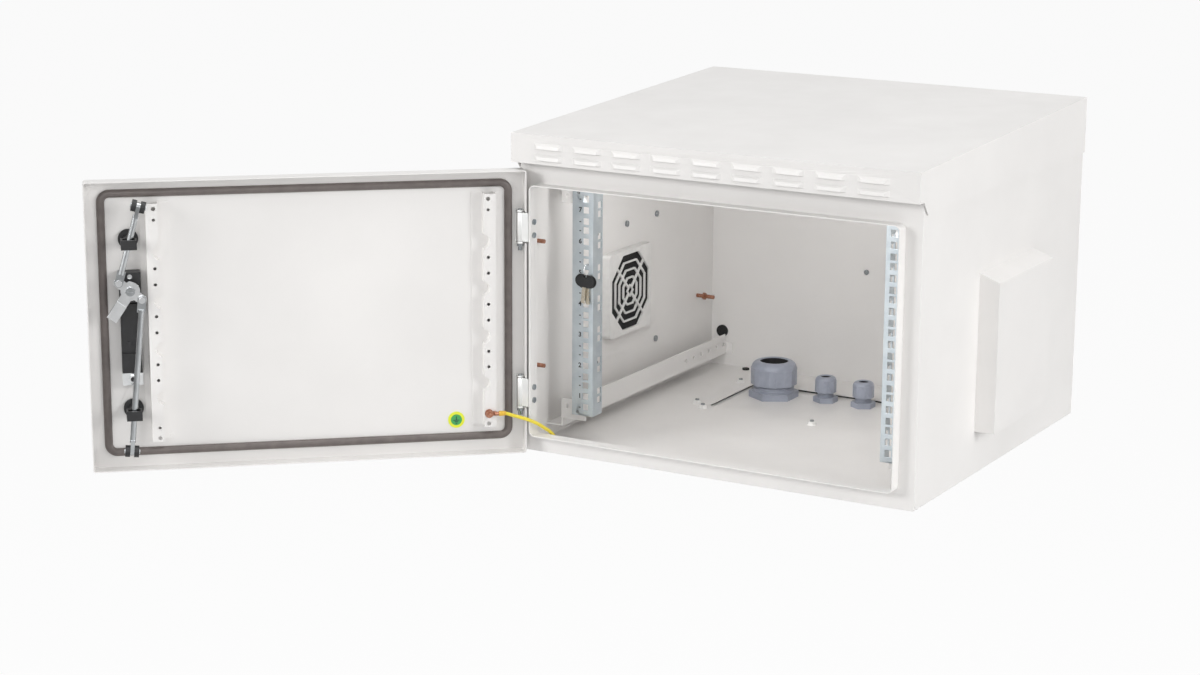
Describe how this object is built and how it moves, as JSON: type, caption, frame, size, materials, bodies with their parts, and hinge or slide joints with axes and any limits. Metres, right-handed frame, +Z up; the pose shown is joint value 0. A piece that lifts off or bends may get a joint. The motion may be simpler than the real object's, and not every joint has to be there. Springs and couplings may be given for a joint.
{
  "type": "wall-mounted outdoor network cabinet",
  "caption": "Outdoor wall cabinet with rain roof, side hoods, fan, rack rails, cable glands and an open door with a rod lock",
  "frame": {"origin": "middle of the four wall-fixing holes, on the back face", "axes": "+X to the right seen from the front, +Y to the back, into the wall, +Z up"},
  "size_m": [1.0728, 0.9859, 0.487],
  "materials": {
    "cabinet_paint": "fine textured powder coat",
    "zinc_plate": "blue zinc plate",
    "bright_steel": "zinc-plated steel",
    "black_nylon": "moulded",
    "guard_plastic": "moulded ABS",
    "filter_foam": "open-cell foam",
    "gland_nylon": "moulded nylon",
    "black_rubber": "moulded",
    "gasket_rubber": "foamed",
    "key_brass": "cut",
    "stud_copper": "copper plated",
    "lead_vinyl": "vinyl sleeve",
    "disc_plastic": "printed disc"
  },
  "bodies": {
    "cabinet": {"cabinet_body": "cabinet_paint", "rain_roof": "cabinet_paint", "roof_brackets": "cabinet_paint", "right_hood": "cabinet_paint", "left_hood": "cabinet_paint", "wall_screws": "bright_steel", "fan_frame": "black_nylon", "fan_screws": "bright_steel", "fan_guard": "guard_plastic", "fan_filter": "filter_foam", "vent_guard": "guard_plastic", "vent_filter": "filter_foam", "gland_plate": "cabinet_paint", "gland_plate_gasket": "black_rubber", "gland_plate_screws": "bright_steel", "gland_plate_nuts": "guard_plastic", "large_gland_body": "gland_nylon", "large_gland_cap": "gland_nylon", "large_gland_seal": "black_rubber", "large_gland_locknut": "gland_nylon", "small_gland_bodies": "gland_nylon", "small_gland_caps": "gland_nylon", "small_gland_seals": "black_rubber", "small_gland_locknuts": "gland_nylon", "left_rail": "zinc_plate", "right_rail": "zinc_plate", "lower_runners": "cabinet_paint", "upper_runners": "cabinet_paint", "rail_bolts": "bright_steel", "wall_grommets": "black_rubber", "earth_studs": "stud_copper", "back_cover_plate": "cabinet_paint", "key_ring": "bright_steel", "key_bows": "black_nylon", "key_blades": "key_brass", "floor_terminal": "stud_copper", "earth_lead": "lead_vinyl", "hinge_bases": "zinc_plate", "hinge_screws": "bright_steel"},
    "door": {"door_panel": "cabinet_paint", "door_gasket": "gasket_rubber", "door_stiffeners": "cabinet_paint", "hinge_leaves": "zinc_plate", "hinge_pins": "bright_steel", "handle_dish": "black_nylon", "lock_housing": "black_nylon", "lock_bracket": "zinc_plate", "lock_nuts": "bright_steel", "rod_guides": "black_nylon", "earth_disc": "disc_plastic", "door_terminal": "stud_copper"},
    "latch": {"lock_spindle": "bright_steel", "lock_cam": "zinc_plate"},
    "lever": {"handle_lever": "black_nylon"},
    "cylinder": {"lock_cylinder": "bright_steel"},
    "upper_rod": {"upper_rod": "bright_steel"},
    "lower_rod": {"lower_rod": "bright_steel"},
    "upper_rollers": {"upper_rollers": "black_nylon"},
    "lower_rollers": {"lower_rollers": "black_nylon"},
    "fan_rotor": {"fan_rotor": "black_nylon"}
  },
  "joints": [
    {"name": "door_hinge", "type": "hinge", "parent": "cabinet", "child": "door", "pos_m": [-0.291, -0.592, -0.006], "axis": [0, 0, 1], "range_deg": [-25.8, 139.2], "deforming": ["earth_lead"]},
    {"name": "handle_turn", "type": "hinge", "parent": "door", "child": "latch", "pos_m": [-0.68289, -0.9514, 0.0485], "axis": [-0.6534, 0.757, 0], "range_deg": [0, 59.5]},
    {"name": "handle_lift", "type": "hinge", "parent": "latch", "child": "lever", "pos_m": [-0.71, -0.91999, 0.0485], "axis": [-0.3842, -0.3316, -0.8616], "range_deg": [-8, 22]},
    {"name": "lock_turn", "type": "hinge", "parent": "lever", "child": "cylinder", "pos_m": [-0.66969, -0.82976, -0.00421], "axis": [0.8502, -0.491, -0.1901], "range_deg": [0, 90]},
    {"name": "upper_rod_swing", "type": "hinge", "parent": "latch", "child": "upper_rod", "pos_m": [-0.68598, -0.97058, 0.06033], "axis": [-0.6534, 0.757, 0], "range_deg": [-78.2, 0]},
    {"name": "lower_rod_swing", "type": "hinge", "parent": "latch", "child": "lower_rod", "pos_m": [-0.66346, -0.95115, 0.03667], "axis": [-0.6534, 0.757, 0], "range_deg": [-65.95, 0]},
    {"name": "upper_roller_spin", "type": "hinge", "parent": "upper_rod", "child": "upper_rollers", "pos_m": [-0.66413, -0.95173, 0.1644], "axis": [-0.7295, -0.6297, 0.2672], "continuous": true},
    {"name": "lower_roller_spin", "type": "hinge", "parent": "lower_rod", "child": "lower_rollers", "pos_m": [-0.67838, -0.96403, -0.1714], "axis": [0.7536, 0.6505, -0.0943], "continuous": true},
    {"name": "fan_spin", "type": "hinge", "parent": "cabinet", "child": "fan_rotor", "pos_m": [-0.313, -0.288, -0.032], "axis": [1, 0, 0], "continuous": true}
  ],
  "couplings": [
    {"joint": "upper_rod_swing", "follows": "handle_turn", "ratio": -1.314},
    {"joint": "lower_rod_swing", "follows": "handle_turn", "ratio": -1.1076}
  ]
}
